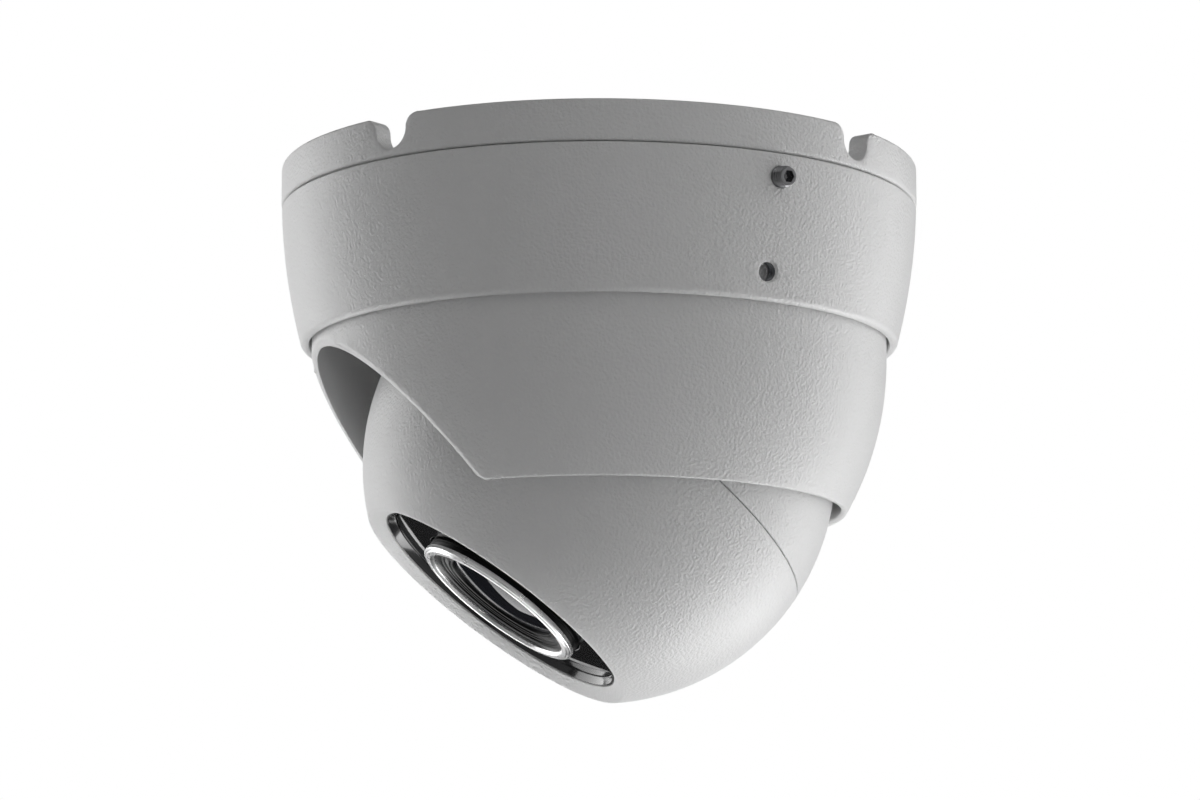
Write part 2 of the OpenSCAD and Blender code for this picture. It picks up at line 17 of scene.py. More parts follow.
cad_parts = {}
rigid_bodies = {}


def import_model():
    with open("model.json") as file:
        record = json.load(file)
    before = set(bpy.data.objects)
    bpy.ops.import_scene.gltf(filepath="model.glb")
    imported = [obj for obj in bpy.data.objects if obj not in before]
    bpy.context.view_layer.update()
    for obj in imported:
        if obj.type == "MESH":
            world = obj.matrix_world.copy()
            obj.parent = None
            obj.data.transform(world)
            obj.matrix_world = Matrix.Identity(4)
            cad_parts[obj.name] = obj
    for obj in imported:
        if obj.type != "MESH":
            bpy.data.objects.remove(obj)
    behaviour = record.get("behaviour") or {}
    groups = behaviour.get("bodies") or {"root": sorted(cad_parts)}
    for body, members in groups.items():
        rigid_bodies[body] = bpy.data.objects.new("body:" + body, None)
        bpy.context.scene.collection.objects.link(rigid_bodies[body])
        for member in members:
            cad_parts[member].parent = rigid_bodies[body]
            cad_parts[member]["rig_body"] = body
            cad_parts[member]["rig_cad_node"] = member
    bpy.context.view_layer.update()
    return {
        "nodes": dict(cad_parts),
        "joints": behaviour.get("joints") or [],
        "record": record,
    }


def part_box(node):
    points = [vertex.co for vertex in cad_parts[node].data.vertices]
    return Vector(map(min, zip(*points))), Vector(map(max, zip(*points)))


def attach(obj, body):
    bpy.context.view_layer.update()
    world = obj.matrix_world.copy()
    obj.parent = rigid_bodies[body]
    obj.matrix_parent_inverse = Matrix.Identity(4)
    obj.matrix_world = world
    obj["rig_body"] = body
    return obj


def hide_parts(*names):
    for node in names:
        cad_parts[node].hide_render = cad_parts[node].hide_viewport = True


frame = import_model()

record = frame["record"]
body_of_node = {n: b for b, names in record["behaviour"]["bodies"].items() for n in names}
slot_of_node = {s["node"]: s["material_slot"] for s in record["subparts"]}
joint = {j["name"]: j for j in frame["joints"]}

# %% [markdown]
# ## Driving sizes
# Sizes are in millimetres, as on a drawing, and become metres at the last moment. The eyeball's
# centre is the tilt joint's pivot, and the direction of the lens is the roll joint's axis.

# %% Sizes
MM = 0.001
BASE_R = round(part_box("mounting_base")[1].x / MM)
BASE_TURN = -4.75
BALL_R = 45.0
BALL_CENTRE = Vector(joint["tilt"]["pos_m"])
LENS_AXIS = Vector(joint["roll"]["axis"])
LENS_TILT = math.acos(LENS_AXIS.z)
COVER_ANGLES = (90, 210, 330)
print("base radius", BASE_R, "lens below horizontal", round(math.degrees(LENS_TILT) - 90, 1))

# %% [markdown]
# ## Materials
# The castings have a satin powder coat. Powder melts into a skin that is never quite flat, so
# its gloss breaks up into small ripples under a millimetre across: the "orange peel". A picture
# of the paint could be wrapped on, but a noise pattern on object coordinates needs no
# unwrapping and keeps one scale on every casting, so every finish here is made of noise.


# %% A material from a recipe
def finish(name, colour, roughness, metallic=0.0, grain=900.0, bump=0.15, depth=0.05, mottle=0.04, **extra):
    """One procedural finish: noise sets the colour's mottle, the roughness and a fine bump."""
    mat = bpy.data.materials.new(name)
    mat.use_nodes = True
    nodes, links = mat.node_tree.nodes, mat.node_tree.links
    shader = nodes["Principled BSDF"]
    shader.inputs["Metallic"].default_value = metallic
    for socket, value in extra.items():
        shader.inputs[socket.replace("_", " ")].default_value = value
    place = nodes.new("ShaderNodeTexCoord")
    broad = nodes.new("ShaderNodeTexNoise")
    broad.inputs["Scale"].default_value = grain / 8
    broad.inputs["Detail"].default_value = 3
    links.new(place.outputs["Object"], broad.inputs["Vector"])
    tint = nodes.new("ShaderNodeMix")
    tint.data_type = "RGBA"
    tint.inputs["A"].default_value = (*[c * (1 - mottle) for c in colour], 1)
    tint.inputs["B"].default_value = (*[min(1, c * (1 + mottle)) for c in colour], 1)
    links.new(broad.outputs["Fac"], tint.inputs["Factor"])
    links.new(tint.outputs["Result"], shader.inputs["Base Color"])
    sheen = nodes.new("ShaderNodeMapRange")
    sheen.inputs["To Min"].default_value = roughness * 0.88
    sheen.inputs["To Max"].default_value = roughness * 1.12
    links.new(broad.outputs["Fac"], sheen.inputs["Value"])
    links.new(sheen.outputs["Result"], shader.inputs["Roughness"])
    fine = nodes.new("ShaderNodeTexNoise")
    fine.inputs["Scale"].default_value = grain
    fine.inputs["Detail"].default_value = 1
    fine.inputs["Roughness"].default_value = 0.45
    fine.inputs["Distortion"].default_value = 0.1
    links.new(place.outputs["Object"], fine.inputs["Vector"])
    relief = nodes.new("ShaderNodeBump")
    relief.inputs["Strength"].default_value = bump
    relief.inputs["Distance"].default_value = depth * MM
    links.new(fine.outputs["Fac"], relief.inputs["Height"])
    links.new(relief.outputs["Normal"], shader.inputs["Normal"])
    return mat


# %% [markdown]
# ## Turned metal and fine lines
# Turned parts carry hair-fine rings round their axis. A wave pattern of rings gives them, once a
# Mapping node has brought the lens axis onto its own axis.


# %% Turning marks round the lens axis
def turning_marks(mat, lines_per_mm, strength):
    """Adds concentric tool marks round the lens axis to a finish's bump."""
    nodes, links = mat.node_tree.nodes, mat.node_tree.links
    relief = nodes["Bump"]
    place = nodes["Texture Coordinate"]
    centre = nodes.new("ShaderNodeMapping")
    centre.vector_type = "TEXTURE"
    centre.inputs["Location"].default_value = BALL_CENTRE
    centre.inputs["Rotation"].default_value = (LENS_TILT, 0, 0)
    rings = nodes.new("ShaderNodeTexWave")
    rings.wave_type = "RINGS"
    rings.rings_direction = "Z"
    rings.inputs["Scale"].default_value = lines_per_mm / MM / math.tau * 2
    rings.inputs["Distortion"].default_value = 0.4
    second = nodes.new("ShaderNodeBump")
    second.inputs["Strength"].default_value = strength
    second.inputs["Distance"].default_value = 0.02 * MM
    links.new(place.outputs["Object"], centre.inputs["Vector"])
    links.new(centre.outputs["Vector"], rings.inputs["Vector"])
    links.new(rings.outputs["Fac"], second.inputs["Height"])
    links.new(relief.outputs["Normal"], second.inputs["Normal"])
    links.new(second.outputs["Normal"], nodes["Principled BSDF"].inputs["Normal"])
    return mat


# %% The finishes, one for each slot of the record
FINISHES = {
    "painted_cast": finish("painted_cast", (0.80, 0.80, 0.80), 0.42, grain=1750, bump=1.0, depth=0.2,
                           mottle=0.02, Coat_Weight=0.15, Coat_Roughness=0.3),
    "rubber": finish("rubber", (0.03, 0.03, 0.03), 0.75, grain=2200, bump=0.2),
    "bare_aluminium": finish("bare_aluminium", (0.72, 0.73, 0.74), 0.42, 1.0, grain=1800, bump=0.15),
    "nylon": finish("nylon", (0.80, 0.79, 0.74), 0.55, grain=1500, bump=0.08, Subsurface_Weight=0.05),
    "steel": finish("steel", (0.30, 0.30, 0.31), 0.28, 1.0, grain=2600, bump=0.08, mottle=0.1),
    "spring_steel": finish("spring_steel", (0.30, 0.31, 0.33), 0.38, 1.0, grain=1600, bump=0.1, mottle=0.12),
    "bright_ring": finish("bright_ring", (0.90, 0.90, 0.90), 0.28, 1.0, grain=2400, bump=0.04, mottle=0.02),
    "black_gloss": finish("black_gloss", (0.010, 0.010, 0.011), 0.16, grain=1500, bump=0.02, Coat_Weight=0.5,
                          Coat_Roughness=0.06),
    "dark_window": finish("dark_window", (0.008, 0.008, 0.009), 0.05, grain=500, bump=0.01, mottle=0.2,
                          Coat_Weight=0.6, Coat_Roughness=0.03),
    "black_anodised": finish("black_anodised", (0.010, 0.010, 0.010), 0.3, grain=2800, bump=0.05,
                             Specular_IOR_Level=0.12),
    "black_plastic": finish("black_plastic", (0.02, 0.02, 0.02), 0.5, grain=2400, bump=0.15),
    "chip_black": finish("chip_black", (0.03, 0.03, 0.033), 0.55, grain=3000, bump=0.12),
    "coated_glass": finish("coated_glass", (0.02, 0.022, 0.03), 0.02, grain=300, bump=0.0, mottle=0.01,
                           Transmission_Weight=0.6, IOR=1.2),
    "filter_glass": finish("filter_glass", (0.55, 0.85, 0.9), 0.03, grain=300, bump=0.0,
                           Transmission_Weight=0.9, IOR=1.5),
    "led": finish("led", (0.85, 0.84, 0.74), 0.12, grain=900, bump=0.03, Transmission_Weight=0.5),
    "circuit_board": finish("circuit_board", (0.012, 0.12, 0.05), 0.35, grain=700, bump=0.15, mottle=0.25,
                            Coat_Weight=0.4, Coat_Roughness=0.2),
    "brass": finish("brass", (0.72, 0.53, 0.25), 0.3, 1.0, grain=2200, bump=0.08, mottle=0.08),
    "copper_coil": finish("copper_coil", (0.62, 0.28, 0.12), 0.32, 0.9, grain=3200, bump=0.5, mottle=0.15),
    "flex": finish("flex", (0.36, 0.16, 0.03), 0.35, grain=1200, bump=0.05),
    "thermal_pad": finish("thermal_pad", (0.45, 0.30, 0.36), 0.7, grain=1400, bump=0.25),
}
turning_marks(FINISHES["bright_ring"], 6, 0.25)
turning_marks(FINISHES["black_anodised"], 5, 0.08)
for node, obj in frame["nodes"].items():
    obj.data.materials.clear()
    obj.data.materials.append(FINISHES[slot_of_node[node]])
print("finishes", len(FINISHES))

# %% [markdown]
# ## The smooth inside of the cup
# Powder reaches the inside of a casting only thinly, so the ripples nearly vanish there. The
# same recipe with a tenth of the bump gives that surface.

# %% The cup's inner finish
smooth_paint = finish("smooth_paint", (0.78, 0.78, 0.78), 0.5, grain=900, bump=0.05, depth=0.03,
                      mottle=0.015)

# %% [markdown]
# ## Outlines
# Nearly every piece of this camera is turned: one outline, swept round an axis. Real edges are
# never sharp, and a small radius on each corner is what catches the light, so an outline is
# written as corners with a radius each, and this helper puts the arcs in.


# %% Rounded outlines and arcs
def arc(centre, radius, start, end, count):
    """Points along an arc, angles in degrees from the outline's first axis."""
    steps = [math.radians(start + (end - start) * i / count) for i in range(count + 1)]
    return [(centre[0] + radius * math.cos(a), centre[1] + radius * math.sin(a)) for a in steps]


def rounded(corners, closed=True, count=5):
    """Replaces each corner (x, y, radius) of an outline by a small arc; radius 0 keeps it sharp."""
    out = []
    size = len(corners)
    for i, (x, y, *more) in enumerate(corners):
        radius = more[0] if more else 0
        if radius == 0 or (not closed and i in (0, size - 1)):
            out.append((x, y))
            continue
        here = Vector((x, y))
        before = (Vector(corners[i - 1][:2]) - here).normalized()
        after = (Vector(corners[(i + 1) % size][:2]) - here).normalized()
        half = before.angle(after) / 2
        centre = here + (before + after).normalized() * radius / math.sin(half)
        first = here + before * radius / math.tan(half) - centre
        last = here + after * radius / math.tan(half) - centre
        swing = first.angle_signed(last)
        for k in range(count + 1):
            a = math.atan2(first.y, first.x) - swing * k / count
            out.append((centre.x + radius * math.cos(a), centre.y + radius * math.sin(a)))
    return out


# %% [markdown]
# ## Turning a piece
# A lathe could be imitated with the Screw modifier. Spin in edit mode does the same by hand:
# draw the outline by extruding one vertex from corner to corner, then spin it a full turn.


# %% Draw an outline and spin it
def draw(name, points, plane="XZ"):
    """Starts a mesh as one vertex and extrudes it along the points, which are in millimetres."""
    def place(p):
        return Vector((p[0], 0, p[1]) if plane == "XZ" else (0, p[0], p[1])) * MM

    bpy.ops.object.select_all(action="DESELECT")
    bpy.ops.mesh.primitive_plane_add(size=MM)
    obj = bpy.context.object
    obj.name = obj.data.name = name
    bpy.ops.object.mode_set(mode="EDIT")
    bpy.ops.mesh.select_all(action="SELECT")
    bpy.ops.mesh.merge(type="CENTER")
    bpy.ops.transform.translate(value=place(points[0]))
    for a, b in zip(points, points[1:]):
        bpy.ops.mesh.extrude_region_move(TRANSFORM_OT_translate={"value": place(b) - place(a)})
    return obj


def smooth(obj, angle=32):
    """Smooth shading, with edges sharper than the angle kept crisp."""
    bpy.ops.object.select_all(action="DESELECT")
    obj.select_set(True)
    bpy.context.view_layer.objects.active = obj
    bpy.ops.object.shade_smooth_by_angle(angle=math.radians(angle))
    return obj


def turn(name, points, steps=192, closed=True):
    """Spins an outline of (radius, height) points round Z. An open outline starts and ends on the axis."""
    obj = draw(name, [*points, points[0]] if closed else points)
    bpy.ops.mesh.select_all(action="SELECT")
    bpy.ops.mesh.remove_doubles(threshold=1e-7)
    bpy.ops.mesh.select_all(action="SELECT")
    bpy.ops.mesh.spin(steps=steps, angle=math.tau, center=(0, 0, 0), axis=(0, 0, 1))
    bpy.ops.mesh.select_all(action="SELECT")
    bpy.ops.mesh.remove_doubles(threshold=1e-6)
    bpy.ops.mesh.normals_make_consistent(inside=False)
    bpy.ops.object.mode_set(mode="OBJECT")
    return smooth(obj)


def prism(name, points, low, high):
    """A flat outline of (y, z) points, filled and extruded along X from low to high."""
    obj = draw(name, [*points, points[0]], plane="YZ")
    bpy.ops.mesh.select_all(action="SELECT")
    bpy.ops.mesh.remove_doubles(threshold=1e-7)
    bpy.ops.mesh.select_all(action="SELECT")
    bpy.ops.mesh.edge_face_add()
    bpy.ops.transform.translate(value=(low * MM, 0, 0))
    bpy.ops.mesh.extrude_region_move(TRANSFORM_OT_translate={"value": ((high - low) * MM, 0, 0)})
    bpy.ops.mesh.select_all(action="SELECT")
    bpy.ops.mesh.normals_make_consistent(inside=False)
    bpy.ops.object.mode_set(mode="OBJECT")
    return obj


# %% [markdown]
# ## Placing, cutting, joining
# A piece is made upright at the origin. It is then turned and moved to its seat, and the move is
# applied, so that its place ends up in its mesh, as a CAD node's does.


# %% Placing helpers
def apply_place(obj):
    """Moves an object's place into its mesh."""
    bpy.ops.object.select_all(action="DESELECT")
    obj.select_set(True)
    bpy.context.view_layer.objects.active = obj
    bpy.ops.object.transform_apply(location=True, rotation=True, scale=True)
    return obj


def seat_in_eyeball(obj):
    """From upright at the origin to the eyeball's own frame, whose axis is the lens axis."""
    obj.rotation_euler = (LENS_TILT, 0, 0)
    obj.location = BALL_CENTRE
    return apply_place(obj)


def stand(obj, x=0, y=0, z=0, turned=0):
    """Moves a piece by (x, y, z) millimetres, then swings it round the Z axis by degrees."""
    a = math.radians(turned)
    obj.rotation_euler.z = a
    obj.location = Vector((x * math.cos(a) - y * math.sin(a), x * math.sin(a) + y * math.cos(a), z)) * MM
    return apply_place(obj)


def lay_along_x(obj):
    """Tips a piece turned round Z so that its axis lies along X."""
    obj.rotation_euler = (0, math.pi / 2, 0)
    return apply_place(obj)


def combine(obj, tool, operation="DIFFERENCE"):
    """Cuts, adds or intersects with a second mesh, which is used up."""
    step = obj.modifiers.new("combine", "BOOLEAN")
    step.operation, step.solver, step.object = operation, "EXACT", tool
    bpy.context.view_layer.objects.active = obj
    bpy.ops.object.modifier_apply(modifier=step.name)
    bpy.data.objects.remove(tool)
    return obj


def clear_beside_edges(obj, distance, angle=40):
    """Dissolves points that lie beside a sharp edge but not on it, to make room for a bevel."""
    bpy.ops.object.select_all(action="DESELECT")
    obj.select_set(True)
    bpy.context.view_layer.objects.active = obj
    bpy.ops.object.mode_set(mode="EDIT")
    bpy.ops.mesh.select_mode(type="EDGE")
    bpy.ops.mesh.select_all(action="DESELECT")
    bpy.ops.mesh.edges_select_sharp(sharpness=math.radians(angle))
    bpy.ops.object.mode_set(mode="OBJECT")
    mesh = obj.data
    sharp = [e.vertices for e in mesh.edges if e.select]
    on_edge = {v for pair in sharp for v in pair}
    tree = KDTree(len(sharp))
    for k, (a, b) in enumerate(sharp):
        tree.insert((mesh.vertices[a].co + mesh.vertices[b].co) / 2, k)
    tree.balance()
    beside = []
    for v in mesh.vertices:
        if v.index in on_edge:
            continue
        for _, k, _ in tree.find_range(v.co, 1.5 * MM):
            a, b = (mesh.vertices[n].co for n in sharp[k])
            foot, share = intersect_point_line(v.co, a, b)
            if -0.1 < share < 1.1 and (v.co - foot).length < distance * MM:
                beside.append(v.index)
                break
    bpy.ops.object.mode_set(mode="EDIT")
    bpy.ops.mesh.select_mode(type="VERT")
    bpy.ops.mesh.select_all(action="DESELECT")
    bpy.ops.object.mode_set(mode="OBJECT")
    for index in beside:
        mesh.vertices[index].select = True
    bpy.ops.object.mode_set(mode="EDIT")
    bpy.ops.mesh.dissolve_verts()
    bpy.ops.object.mode_set(mode="OBJECT")
    print(obj.name, "points cleared beside edges", len(beside))
    return obj


def soften(obj, width, angle=40, segments=3):
    """Rounds the edges that a cut left, by a Bevel that acts only on sharp ones."""
    step = obj.modifiers.new("soften", "BEVEL")
    step.width, step.segments = width * MM, segments
    step.limit_method, step.angle_limit = "ANGLE", math.radians(angle)
    step.use_clamp_overlap = False
    bpy.context.view_layer.objects.active = obj
    bpy.ops.object.modifier_apply(modifier=step.name)
    return smooth(obj)


def weld(obj, distance):
    """Merges points closer than a distance in millimetres, so that a cut leaves no slivers."""
    bpy.ops.object.select_all(action="DESELECT")
    obj.select_set(True)
    bpy.context.view_layer.objects.active = obj
    bpy.ops.object.mode_set(mode="EDIT")
    bpy.ops.mesh.select_all(action="SELECT")
    bpy.ops.mesh.remove_doubles(threshold=distance * MM)
    bpy.ops.mesh.normals_make_consistent(inside=False)
    bpy.ops.object.mode_set(mode="OBJECT")
    return obj


def join(obj, *others):
    """Joins closed shells into one object."""
    bpy.ops.object.select_all(action="DESELECT")
    for other in (*others, obj):
        other.select_set(True)
    bpy.context.view_layer.objects.active = obj
    bpy.ops.object.join()
    return obj


def stands_for(obj, *nodes, material=None):
    """Dresses a finished piece, sets it on its body and lets it stand for its CAD nodes."""
    slot = slot_of_node[nodes[0]]
    if not obj.data.materials:
        obj.data.materials.append(material or FINISHES[slot])
    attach(obj, body_of_node[nodes[0]])
    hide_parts(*nodes)
    print(obj.name, "faces", len(obj.data.polygons), "on", body_of_node[nodes[0]])
    return obj


# %% [markdown]
# ## Mounting base
# The base is a die-cast tray: a ring with four cable notches, a floor with four screw bosses and
# a cable hole, and a spigot that the shell slides over. Ring, floor and spigot are one turned
# outline. Notches and holes are then cut by Boolean, and only the edges that the cuts leave are
# rounded, because the outline already carries its own radii.

# %% Tray outline
FLOOR_TOP, FLOOR_BOTTOM, RING_BOTTOM = -6.3, -9.0, -7.7
SPIGOT_R, SPIGOT_IN, SPIGOT_BOTTOM = 57.0, 54.2, -16.2
RING_IN = BASE_R - 4.3
CABLE_HOLE_R, LIP_TOP = 18.0, -4.8
tray_outline = rounded([
    (CABLE_HOLE_R, FLOOR_BOTTOM, 0.4), (CABLE_HOLE_R, LIP_TOP, 0.6), (CABLE_HOLE_R + 2, LIP_TOP, 0.6),
    (CABLE_HOLE_R + 2, FLOOR_TOP, 0.5), (RING_IN, FLOOR_TOP, 1.0), (RING_IN, 0, 0.5),
    (BASE_R, 0, 0.55), (BASE_R, RING_BOTTOM, 0.8), (SPIGOT_R, RING_BOTTOM), (SPIGOT_R, SPIGOT_BOTTOM, 0.5),
    (SPIGOT_IN, SPIGOT_BOTTOM, 0.5), (SPIGOT_IN, FLOOR_BOTTOM, 1.0)])
base = turn("mounting_base_casting", tray_outline, steps=240)

# %% Cable notches
NOTCH_HALF, NOTCH_DEPTH, NOTCH_FLARE = 3.5, 6.2, 2.6
notch_outline = [
    *arc((0, NOTCH_HALF - NOTCH_DEPTH), NOTCH_HALF, 180, 360, 20),
    *arc((NOTCH_HALF + NOTCH_FLARE, -NOTCH_FLARE), NOTCH_FLARE, 180, 90, 8)[1:],
    (NOTCH_HALF + NOTCH_FLARE, 2), (-NOTCH_HALF - NOTCH_FLARE, 2),
    *arc((-NOTCH_HALF - NOTCH_FLARE, -NOTCH_FLARE), NOTCH_FLARE, 90, 0, 8)[:-1]]
for k in range(4):
    cutter = prism("notch", notch_outline, RING_IN - 3, BASE_R + 3)
    combine(base, stand(cutter, turned=45 + BASE_TURN + 90 * k))

# %% Screw holes and bayonet slots
SCREW_R, SCREW_CIRCLE = 2.3, 45.0
for k in range(4):
    hole = turn("hole", [(0, -20), (SCREW_R, -20), (SCREW_R, 5), (0, 5)], steps=40, closed=False)
    combine(base, stand(hole, x=SCREW_CIRCLE, turned=BASE_TURN + 90 * k))
SLOT_TOP = -12.2
slot_outline = [(-4.5, SLOT_TOP), (-4.5, SLOT_TOP - 2.1), (5, SLOT_TOP - 2.1), (5, SPIGOT_BOTTOM - 2),
                (14.5, SPIGOT_BOTTOM - 2), (14.5, SLOT_TOP)]
for angle in (60, 180, 300):
    combine(base, stand(prism("slot", slot_outline, SPIGOT_IN - 2, SPIGOT_R + 2), turned=angle))
weld(base, 0.03)
clear_beside_edges(base, 0.5)
soften(base, 0.35)

# %% Screw bosses
bosses = []
for k in range(4):
    boss_outline = rounded([
        (SCREW_R, -8.5), (5, -8.5), (5, FLOOR_TOP, 0), (5, 0, 0.4), (SCREW_R, 0, 0.5)])
    boss = turn("boss", boss_outline, steps=48)
    bosses.append(stand(boss, x=SCREW_CIRCLE, turned=BASE_TURN + 90 * k))
base = stands_for(join(base, *bosses), "mounting_base")

# %% [markdown]
# ## Body shell
# The shell tapers in a long arc to a rounded lip. Inside it has a ledge for the cup's flange.
# Its two threaded holes hold set screws. A screw thread's grooves can be seen in the open one,
# so the cutter is a turned rod with a zigzag outline. Its last half millimetre is plain, as a
# countersink would leave it, because a thread that runs out at the surface leaves torn facets.


# %% Threaded rod
def thread_outline(major, minor, pitch, low, high):
    """Half outline of a threaded rod from low to high, from axis to axis."""
    turns = int((high - low - 0.8) / pitch)
    start = (low + high - turns * pitch) / 2
    points = [(0, low), (minor, low), (minor, start)]
    for k in range(turns):
        points += [(major, start + (k + 0.35) * pitch), (major, start + (k + 0.6) * pitch),
                   (minor, start + (k + 1) * pitch)]
    return [*points, (minor, high), (0, high)]


# %% Shell outline
SHELL_TOP, SHELL_BOTTOM, LIP_R, BORE_R, LEDGE = -7.95, -34.6, 55.5, 57.3, -22.0
TAPER_R, TAPER_Z, LIP_ROUND = 116.5, -4.0, 1.2
taper_x = BASE_R - 0.02 - TAPER_R


def taper(z):
    """The shell's outer radius at a height."""
    return taper_x + math.sqrt(TAPER_R ** 2 - (z - TAPER_Z) ** 2)


taper_heights = [SHELL_TOP - 0.6 - (SHELL_BOTTOM + LIP_ROUND - SHELL_TOP + 0.6) * -k / 24 for k in range(25)]
shell_outline = [
    *rounded([(58.65, SHELL_TOP - 3), (58.65, SHELL_TOP, 0.3), (taper(SHELL_TOP), SHELL_TOP, 0.4),
              (taper(SHELL_TOP - 0.8), SHELL_TOP - 0.8)], closed=False)[1:-1],
    *[(taper(z), z) for z in taper_heights],
    *arc((LIP_R + 0.5, SHELL_BOTTOM + LIP_ROUND), LIP_ROUND, 0, -90, 8)[1:],
    *rounded([(56, SHELL_BOTTOM), (LIP_R, SHELL_BOTTOM, 0.4), (LIP_R, LEDGE, 0.2), (BORE_R, LEDGE),
              (BORE_R, SHELL_TOP - 1.45), (58.65, SHELL_TOP - 1.45)], closed=False)[1:]]
shell = turn("body_shell_casting", shell_outline, steps=240)

# %% Threaded holes for the set screws
HOLE_DIP = 9
BASE_SCREW = {"angle": 22, "z": -12.3}
PAN_HOLE = {"angle": 21, "z": -29.6}


def on_shell(obj, angle, z):
    """Sets a piece made along Z on the shell's surface, pointing out and a little down."""
    obj.rotation_euler = (0, math.radians(90 + HOLE_DIP), 0)
    return stand(apply_place(obj), x=taper(z), z=z, turned=angle)


for hole in (BASE_SCREW, PAN_HOLE):
    tap_outline = thread_outline(2.05, 1.75, 0.7, -9, -0.5)[:-2]
    tap = turn("tap", [*tap_outline, (1.75, -0.5), (2.1, -0.15), (2.1, 5), (0, 5)], steps=48, closed=False)
    combine(shell, on_shell(tap, **hole))
weld(shell, 0.03)
soften(shell, 0.12, angle=60, segments=2)

# %% The tapped holes are left bare, in a dark steel finish that also paints the shade inside them
shell.data.materials.append(FINISHES["painted_cast"])
shell.data.materials.append(FINISHES["spring_steel"])
# Faces inside each hole take the dark steel: bare tapped metal, darkened as painted shade
for hole in (BASE_SCREW, PAN_HOLE):
    dip, swing = math.radians(HOLE_DIP), math.radians(hole["angle"])
    mouth = Vector((taper(hole["z"]) * math.cos(swing), taper(hole["z"]) * math.sin(swing), hole["z"])) * MM
    way = Vector((math.cos(swing) * math.cos(dip), math.sin(swing) * math.cos(dip), -math.sin(dip)))
    for face in shell.data.polygons:
        offset = face.center - mouth
        depth = offset.dot(way)
        if -8 * MM < depth < -0.35 * MM and (offset - way * depth).length < 2.12 * MM:
            face.material_index = 1

# %% Bayonet lugs
lugs = []
for angle in (60, 180, 300):
    lug_outline = [(-4, SLOT_TOP - 1.8), (4, SLOT_TOP - 1.8), (4, SLOT_TOP - 0.3), (-4, SLOT_TOP - 0.3)]
    lug = prism("lug", lug_outline, 55.7, 57.5)
    lugs.append(stand(soften(lug, 0.3), turned=angle))
shell = stands_for(join(shell, *lugs), "body_shell")

# %% [markdown]
# ## Pan cup
# The cup hangs in the shell by its flange and closes in an arc to a rounded rim. A flat cut
# slants back through its front, and turns into the rim with a radius. The cut could be a
# bisect, but that leaves a hard corner, so a prism with the corner's radius in its outline cuts it.

# %% Cup outline
NECK_R, CUP_WALL, CUP_ARC_R, CUP_ARC_Z = 54.93, 1.2, 59.1, -37.0
CUP_BOTTOM, FLANGE_R, FLANGE_TOP, FLANGE_BOTTOM = -66.6, 57.0, -19.9, -21.85
cup_x = NECK_R - CUP_ARC_R
mid_r = CUP_ARC_R - CUP_WALL / 2
rim_angle = math.degrees(math.asin((-CUP_BOTTOM - CUP_WALL / 2 + CUP_ARC_Z) / mid_r))
rim_centre = (cup_x + mid_r * math.cos(math.radians(rim_angle)),
              CUP_ARC_Z - mid_r * math.sin(math.radians(rim_angle)))
neck_steps = [CUP_ARC_Z + 1.2 * k for k in range(12)]
cup_outline = [
    *[(NECK_R - CUP_WALL, z) for z in neck_steps[1:]],
    *rounded([(NECK_R - CUP_WALL, neck_steps[-1]), (NECK_R - CUP_WALL, FLANGE_TOP, 0.3),
              (FLANGE_R, FLANGE_TOP, 0.3),
              (FLANGE_R, FLANGE_BOTTOM, 0.3), (NECK_R, FLANGE_BOTTOM, 0.3), (NECK_R, neck_steps[-1])],
             closed=False)[1:-1],
    *[(NECK_R, z) for z in reversed(neck_steps)],
    *arc((cup_x, CUP_ARC_Z), CUP_ARC_R, 0, -rim_angle, 40)[1:-1],
    *arc(rim_centre, CUP_WALL / 2, -rim_angle, -rim_angle - 180, 12),
    *arc((cup_x, CUP_ARC_Z), CUP_ARC_R - CUP_WALL, -rim_angle, 0, 40)[1:]]
cup = turn("pan_cup_casting", cup_outline, steps=256)

# %% The slanting front cut
CUT_SLOPE, CUT_TOP, CORNER_R = math.radians(50), -35.4, 3.6


def cut_height(y):
    """Height of the slanting cut at a distance y in front of or behind the axis."""
    return CUT_TOP - (y + NECK_R) * math.tan(CUT_SLOPE)


below = CUP_BOTTOM - 0.15
corner_y = -NECK_R + (CUT_TOP - below) / math.tan(CUT_SLOPE)
run = CORNER_R * math.tan(CUT_SLOPE / 2)
corner = arc((corner_y + run, below + CORNER_R), CORNER_R, 180 + 90 - 90 + 40, 270, 10)
cut_outline = [(-70, cut_height(-70)), *corner, (corner_y + run + 0.05, -80), (-70, -80)]
combine(cup, prism("front_cut", cut_outline, -70, 70))
weld(cup, 0.03)
clear_beside_edges(cup, 0.6)
soften(cup, 0.4, angle=40, segments=3)

# %% Pivot bosses inside the cup
sides = []
for side in (0, 180):
    pivot_outline = rounded([(2.0, 47.3), (4.4, 47.3, 0.4), (4.4, 49.6), (2.0, 49.6)])
    pivot = lay_along_x(turn("pivot", pivot_outline, steps=48))
    sides.append(stand(pivot, z=BALL_CENTRE.z / MM, turned=side))
cup = join(cup, *sides)

# %% The inner wall takes the smooth finish
cup.data.materials.append(FINISHES["painted_cast"])
cup.data.materials.append(smooth_paint)
inside = 0
for face in cup.data.polygons:
    out = Vector((face.center.x, face.center.y, 0)).normalized()
    if face.normal.dot(out) < -0.2:
        face.material_index = 1
        inside += 1
print("inner faces", inside)
cup = stands_for(cup, "pan_cup")

# %% [markdown]
# ## Eyeball covers
# The eyeball is two turned shells that meet in a hair-fine seam. The front one ends in a
# rounded lip and a bevel that slopes in to the window. Both are turned upright and then tipped
# to the lens axis.


# %% Points on a sphere
def on_ball(radius, height):
    """Radius from the lens axis of a point on a sphere, at a height along the axis."""
    return math.sqrt(radius ** 2 - height ** 2)


def ball_arc(radius, start, end, count):
    """Points along a sphere's outline between two heights, evenly spaced in angle."""
    first, last = math.degrees(math.asin(start / radius)), math.degrees(math.asin(end / radius))
    return arc((0, 0), radius, first, last, count)


